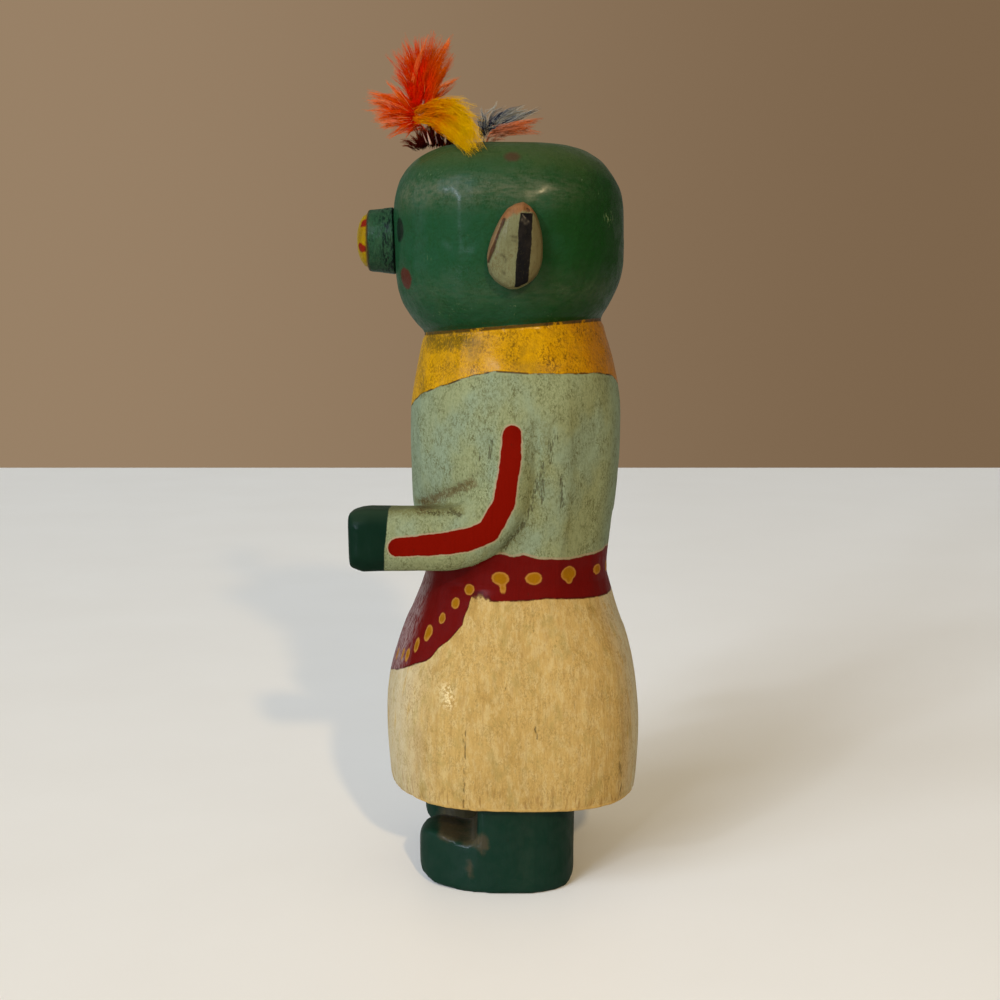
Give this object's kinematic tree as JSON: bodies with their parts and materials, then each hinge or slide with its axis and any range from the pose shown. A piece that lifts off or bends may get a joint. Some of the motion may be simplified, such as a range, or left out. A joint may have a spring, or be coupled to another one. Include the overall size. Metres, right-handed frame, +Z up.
{
  "type": "kachina doll",
  "caption": "Carved and painted standing wooden doll with a round snout, two ears, bent forearms, a kilt and a tuft of dyed feathers on its head.",
  "frame": {"origin": "centre of the doll's box in plan, on the plane its soles stand on", "axes": "+Z up through the head, -Y the way the face and forearms point, +X towards the doll's own left side"},
  "size_m": [0.0678, 0.0689, 0.2031],
  "materials": {
    "painted_wood": "hand painted, satin, worn",
    "snout_paint": "green paint with a yellow end",
    "ear_paint": "pale paint with a black stripe, worn",
    "orange_feather": "dyed down",
    "yellow_feather": "dyed down",
    "blue_feather": "dyed down",
    "red_feather": "dyed down",
    "maroon_feather": "dyed down"
  },
  "bodies": {
    "root": {"figure": "painted_wood", "snout": "snout_paint", "ear_left": "ear_paint", "ear_right": "ear_paint", "feather_orange_tall": "orange_feather", "feather_orange_front": "orange_feather", "feather_yellow": "yellow_feather", "feather_blue": "blue_feather", "feather_red_wisp": "red_feather", "feather_root_tuft": "maroon_feather"}
  },
  "joints": []
}
